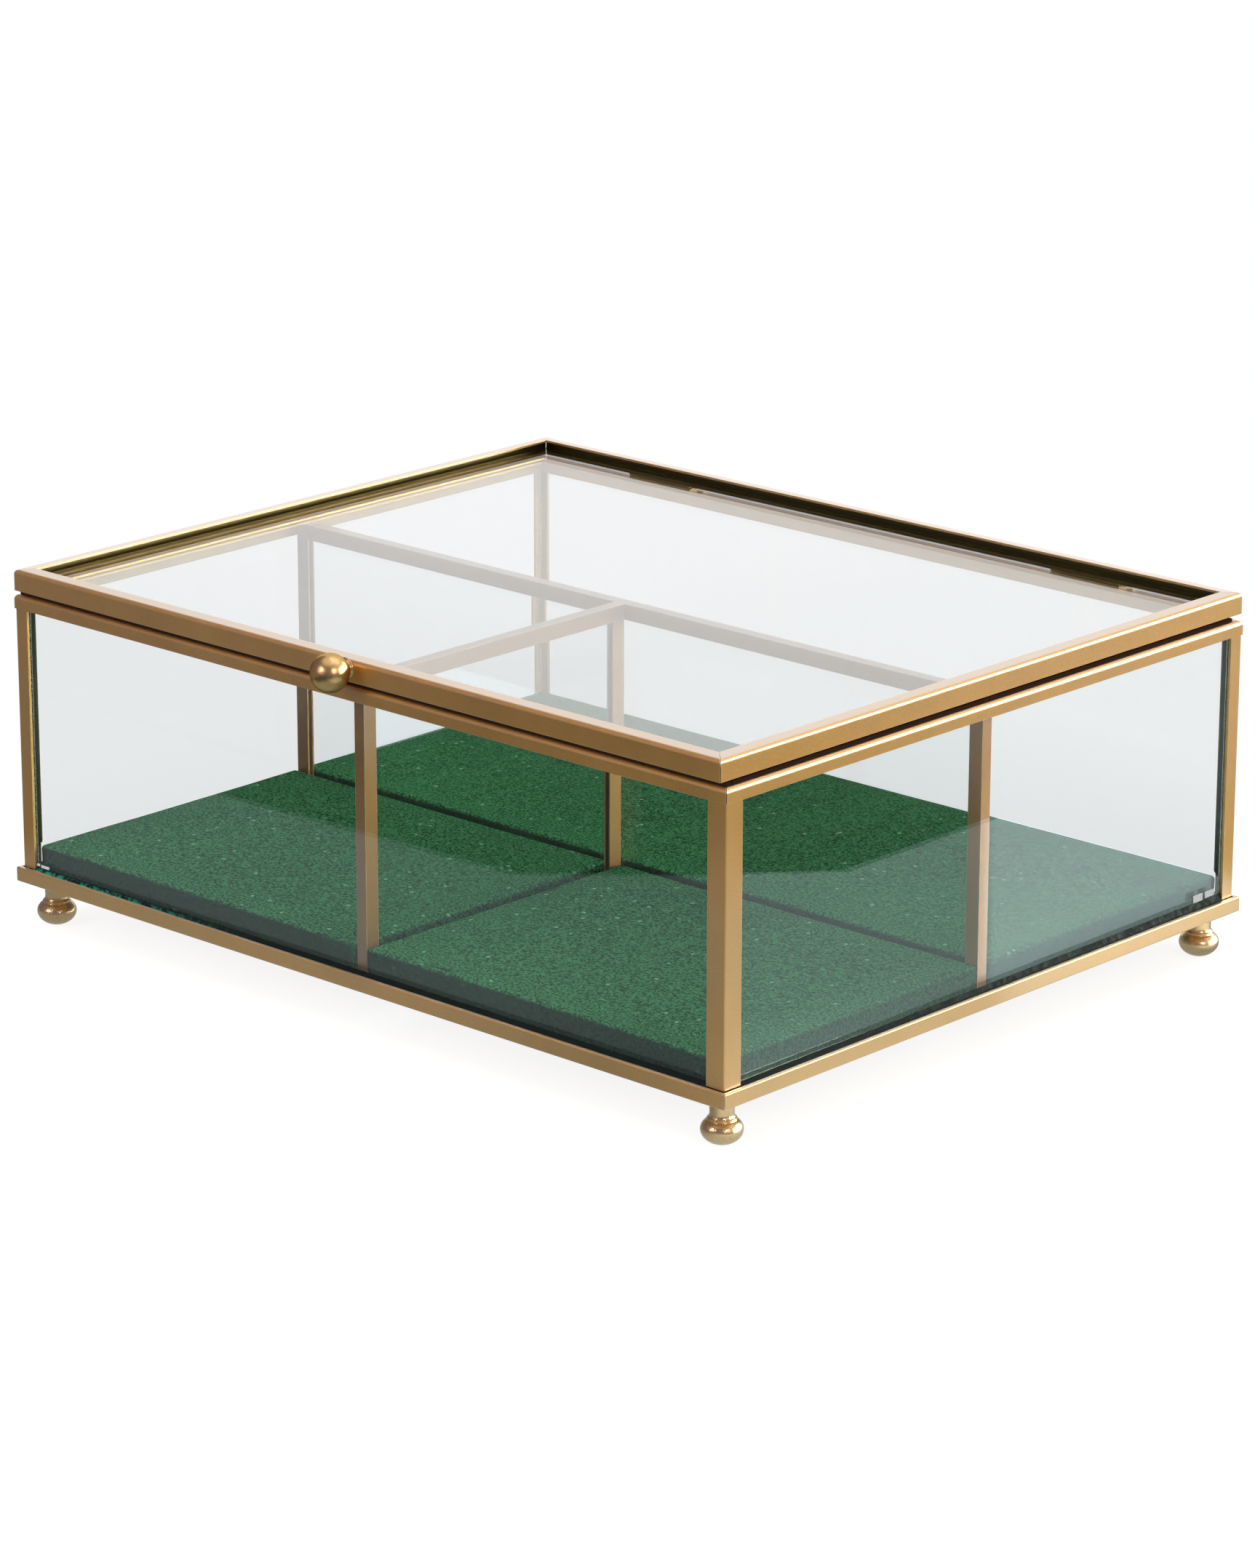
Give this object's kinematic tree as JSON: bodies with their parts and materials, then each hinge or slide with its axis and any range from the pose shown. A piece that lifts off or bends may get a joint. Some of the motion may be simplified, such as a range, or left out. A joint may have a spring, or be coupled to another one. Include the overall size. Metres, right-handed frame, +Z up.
{
  "type": "jewelry box",
  "caption": "Rectangular clear glass jewelry box in a gold metal frame, with a hinged glass lid, ball knob, ball feet, glass dividers and green velvet pads.",
  "frame": {"origin": "on the table, under the middle of the box's whole reach from the knob to the hinges", "axes": "+Z up, +X along the width, the front with the knob towards -Y, the hinges towards +Y"},
  "size_m": [0.2, 0.1722, 0.0791],
  "materials": {
    "gold_frame": "satin gold",
    "polished_gold": "polished",
    "hinge_brass": "satin",
    "clear_glass": "clear polished",
    "green_velvet": "velvet pile",
    "pad_board": "plain pressed board"
  },
  "bodies": {
    "box": {"bottom_glass": "clear_glass", "bottom_rail_back": "gold_frame", "bottom_rail_front": "gold_frame", "bottom_rail_left": "gold_frame", "bottom_rail_right": "gold_frame", "corner_post_back_left": "gold_frame", "corner_post_back_right": "gold_frame", "corner_post_front_left": "gold_frame", "corner_post_front_right": "gold_frame", "cross_divider_back_channel": "gold_frame", "cross_divider_front_channel": "gold_frame", "cross_divider_glass": "clear_glass", "cross_divider_top_channel": "gold_frame", "foot_back_left": "polished_gold", "foot_back_right": "polished_gold", "foot_front_left": "polished_gold", "foot_front_right": "polished_gold", "hinge_box_leaf_left": "hinge_brass", "hinge_box_leaf_right": "hinge_brass", "hinge_pin_left": "hinge_brass", "hinge_pin_right": "hinge_brass", "long_divider_glass": "clear_glass", "long_divider_left_channel": "gold_frame", "long_divider_right_channel": "gold_frame", "long_divider_top_channel": "gold_frame", "pad_back": "green_velvet", "pad_board_back": "pad_board", "pad_board_front_left": "pad_board", "pad_board_front_right": "pad_board", "pad_front_left": "green_velvet", "pad_front_right": "green_velvet", "top_rail_back": "gold_frame", "top_rail_front": "gold_frame", "top_rail_left": "gold_frame", "top_rail_right": "gold_frame", "wall_glass_back": "clear_glass", "wall_glass_front": "clear_glass", "wall_glass_left": "clear_glass", "wall_glass_right": "clear_glass"},
    "lid": {"hinge_lid_leaf_left": "hinge_brass", "hinge_lid_leaf_right": "hinge_brass", "knob_screw": "hinge_brass", "lid_glass": "clear_glass", "lid_knob": "polished_gold", "lid_rail_back": "gold_frame", "lid_rail_front": "gold_frame", "lid_rail_left": "gold_frame", "lid_rail_right": "gold_frame"}
  },
  "joints": [
    {"name": "lid_hinge", "type": "hinge", "parent": "box", "child": "lid", "pos_m": [0, 0.08304, 0.07265], "axis": [-1, 0, 0], "range_deg": [0, 105]}
  ]
}
